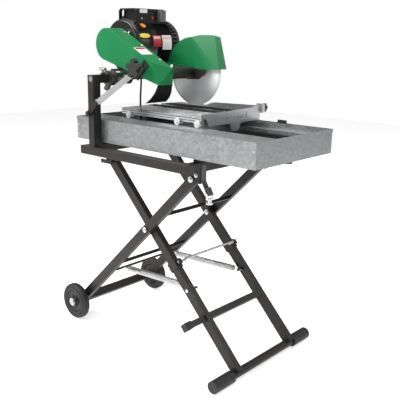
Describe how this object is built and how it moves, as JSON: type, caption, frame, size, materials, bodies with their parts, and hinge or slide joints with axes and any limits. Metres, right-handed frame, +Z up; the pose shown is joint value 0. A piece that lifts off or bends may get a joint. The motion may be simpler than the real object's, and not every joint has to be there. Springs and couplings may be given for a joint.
{
  "type": "wet tile cutter on a folding stand",
  "caption": "Belt-driven wet tile saw with a tilting cutting head, a sliding cart in a water pan, and a folding stand with two wheels.",
  "frame": {"origin": "middle of the overall box at floor level", "axes": "+X along the water pan towards its free end, +Y away from the post side, +Z up"},
  "size_m": [1.0094, 0.586, 1.3],
  "materials": {
    "galvanised_steel": "satin",
    "frame_paint": "satin",
    "green_paint": "gloss",
    "steel": "satin",
    "zinc": "satin",
    "aluminium": "satin",
    "motor_black": "satin",
    "black_plastic": "matte",
    "red_plastic": "gloss",
    "clear_plastic": "gloss",
    "white_nylon": "matte",
    "rubber": "matte",
    "webbing": "matte",
    "blade_steel": "satin",
    "belt_rubber": "matte"
  },
  "bodies": {
    "frame": {"water_pan": "galvanised_steel", "pan_rubbers": "rubber", "water_pump": "black_plastic", "pump_cord": "rubber", "stand_frame": "frame_paint", "end_caps": "black_plastic", "post": "frame_paint", "frame_bolts": "zinc", "leg_brackets": "frame_paint", "strap_band": "webbing", "pivot_shaft": "steel"},
    "clamp_screw": {"t_screw": "steel"},
    "hook": {"strap_hook": "zinc"},
    "head": {"pivot_sleeve": "steel", "base_plate": "frame_paint", "spindle_housing": "frame_paint", "motor_shell": "motor_black", "drive_belt": "belt_rubber", "belt_cover": "green_paint", "cover_bolts": "zinc", "slot_plate": "frame_paint", "junction_box": "motor_black", "switch_guard": "clear_plastic", "lift_handle": "motor_black", "motor_lead": "rubber", "blade_guard": "green_paint", "splash_flap": "rubber"},
    "motor_rotor": {"rotor": "steel"},
    "saw_spindle": {"spindle": "steel", "spindle_pulley": "aluminium", "blade": "blade_steel", "blade_flanges": "zinc"},
    "reset_button": {"overload_button": "red_plastic"},
    "power_rocker": {"rocker_switch": "red_plastic"},
    "lock_link": {"lock_arm": "aluminium"},
    "lock_handwheel": {"lock_knob": "black_plastic"},
    "cart": {"cart_frame": "aluminium", "table_plates": "aluminium", "table_ribs": "rubber", "side_rail": "aluminium", "fence_plate": "aluminium", "fence_clamp": "aluminium", "drip_chute": "aluminium"},
    "roller_pair_left": {"rollers_left": "white_nylon"},
    "roller_pair_middle": {"rollers_middle": "white_nylon"},
    "roller_pair_right": {"rollers_right": "white_nylon"},
    "fence_handwheel": {"fence_knob": "black_plastic"},
    "wheel_leg_frame": {"wheel_legs": "frame_paint", "leg_ties": "frame_paint", "wheel_axle": "steel", "pivot_bolts": "zinc", "springs": "zinc"},
    "near_wheel": {"tyre_near": "rubber", "hub_near": "black_plastic"},
    "far_wheel": {"tyre_far": "rubber", "hub_far": "black_plastic"},
    "foot_leg_frame": {"foot_legs": "frame_paint", "foot_bars": "frame_paint", "rubber_sleeves": "rubber"},
    "wire_latch": {"lock_wire": "steel"}
  },
  "joints": [
    {"name": "head_tilt", "type": "hinge", "parent": "frame", "child": "head", "pos_m": [-0.25275, 0, 1.036], "axis": [0, -1, 0], "range_deg": [-7, 20], "deforming": ["pump_cord"]},
    {"name": "lock_arm_swing", "type": "hinge", "parent": "frame", "child": "lock_link", "pos_m": [-0.25925, -0.268, 0.906], "axis": [0, -1, 0], "range_deg": [-5, 13]},
    {"name": "lock_knob_turn", "type": "hinge", "parent": "lock_link", "child": "lock_handwheel", "pos_m": [-0.08425, -0.198, 1.08], "axis": [0, -1, 0], "continuous": true},
    {"name": "motor_spin", "type": "hinge", "parent": "head", "child": "motor_rotor", "pos_m": [-0.29225, 0, 1.162], "axis": [0, 1, 0], "continuous": true},
    {"name": "blade_spin", "type": "hinge", "parent": "head", "child": "saw_spindle", "pos_m": [-0.03785, 0.086, 1.061], "axis": [0, 1, 0], "continuous": true},
    {"name": "overload_press", "type": "slide", "parent": "head", "child": "reset_button", "axis": [-1, 0, 0], "range_m": [0, 0.002], "stiffness_N_per_m": 900, "springref_m": -0.001},
    {"name": "switch_rock", "type": "hinge", "parent": "head", "child": "power_rocker", "pos_m": [-0.24725, 0.09, 1.273], "axis": [0, -1, 0], "range_deg": [0, 14]},
    {"name": "clamp_screw_turn", "type": "hinge", "parent": "frame", "child": "clamp_screw", "pos_m": [-0.25275, -0.205, 1.06], "axis": [0, 0, 1], "continuous": true},
    {"name": "hook_swing", "type": "hinge", "parent": "frame", "child": "hook", "pos_m": [0.27694, -0.18, 0.66997], "axis": [0, 1, 0], "range_deg": [-35, 35]},
    {"name": "cart_slide", "type": "slide", "parent": "frame", "child": "cart", "axis": [1, 0, 0], "range_m": [-0.1, 0.32]},
    {"name": "fence_knob_turn", "type": "hinge", "parent": "cart", "child": "fence_handwheel", "pos_m": [0.17875, 0.24, 0.93], "axis": [0, 1, 0], "continuous": true},
    {"name": "stand_fold", "type": "hinge", "parent": "frame", "child": "wheel_leg_frame", "pos_m": [0.21775, 0, 0.718], "axis": [0, 1, 0], "range_deg": [0, 36], "deforming": ["springs"]},
    {"name": "leg_cross", "type": "hinge", "parent": "wheel_leg_frame", "child": "foot_leg_frame", "pos_m": [-0.01996, 0, 0.48195], "axis": [0, 1, 0], "range_deg": [-72, 0]},
    {"name": "near_wheel_spin", "type": "hinge", "parent": "wheel_leg_frame", "child": "near_wheel", "pos_m": [-0.42775, -0.2315, 0.077], "axis": [0, 1, 0], "continuous": true},
    {"name": "far_wheel_spin", "type": "hinge", "parent": "wheel_leg_frame", "child": "far_wheel", "pos_m": [-0.42775, 0.2315, 0.077], "axis": [0, 1, 0], "continuous": true},
    {"name": "wire_latch_swing", "type": "hinge", "parent": "foot_leg_frame", "child": "wire_latch", "pos_m": [0.12074, 0, 0.37871], "axis": [0, 1, 0], "range_deg": [-20, 60]},
    {"name": "roller_left_roll", "type": "hinge", "parent": "cart", "child": "roller_pair_left", "pos_m": [-0.19725, 0, 0.89605], "axis": [0, 1, 0], "range_deg": [-460, 1430]},
    {"name": "roller_middle_roll", "type": "hinge", "parent": "cart", "child": "roller_pair_middle", "pos_m": [0.06475, 0, 0.89605], "axis": [0, 1, 0], "range_deg": [-460, 1430]},
    {"name": "roller_right_roll", "type": "hinge", "parent": "cart", "child": "roller_pair_right", "pos_m": [0.16275, 0, 0.89605], "axis": [0, 1, 0], "range_deg": [-460, 1430]}
  ],
  "couplings": [
    {"joint": "lock_arm_swing", "follows": "head_tilt", "ratio": 0.574},
    {"joint": "motor_spin", "follows": "blade_spin", "ratio": 0.4737},
    {"joint": "leg_cross", "follows": "stand_fold", "ratio": -2},
    {"joint": "roller_left_roll", "follows": "cart_slide", "rad_per_m": 76.923},
    {"joint": "roller_middle_roll", "follows": "cart_slide", "rad_per_m": 76.923},
    {"joint": "roller_right_roll", "follows": "cart_slide", "rad_per_m": 76.923}
  ]
}
